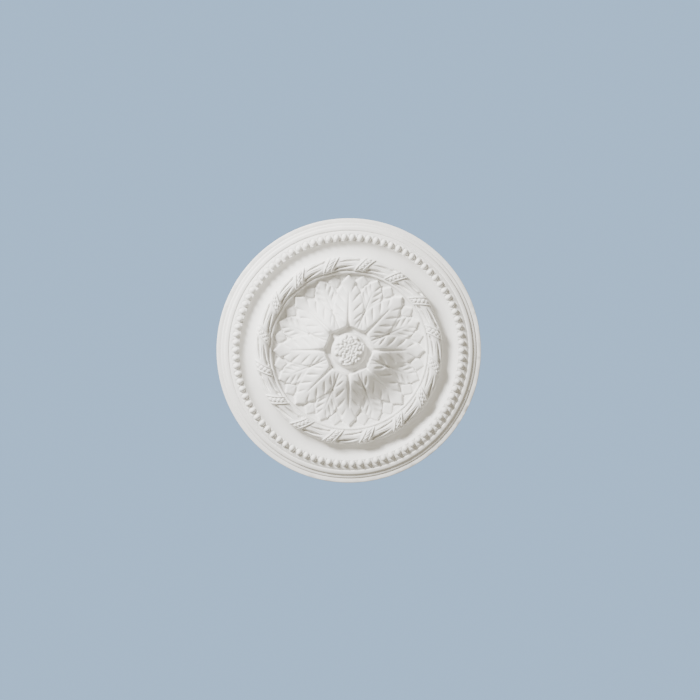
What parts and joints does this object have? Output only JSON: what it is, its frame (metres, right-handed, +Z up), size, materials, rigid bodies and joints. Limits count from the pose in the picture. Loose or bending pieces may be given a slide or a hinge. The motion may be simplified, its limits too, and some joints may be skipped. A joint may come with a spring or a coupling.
{
  "type": "ceiling rose",
  "caption": "Round ceiling rose with leaf rosette, boss, ribbon-bound wreath, smooth cove, beaded ring and stepped rim, cast in one with a flat back that fixes to the ceiling.",
  "frame": {"origin": "centre of the flat back, on the ceiling's surface", "axes": "+Z up, out of the back into the ceiling; the carved face looks down along -Z; +X is the right and -Y the top of the face as pictured"},
  "size_m": [0.48, 0.48, 0.0452],
  "materials": {
    "plaster": "matte warm white cast plaster"
  },
  "bodies": {
    "root": {"ceiling_rose": "plaster"}
  },
  "joints": []
}
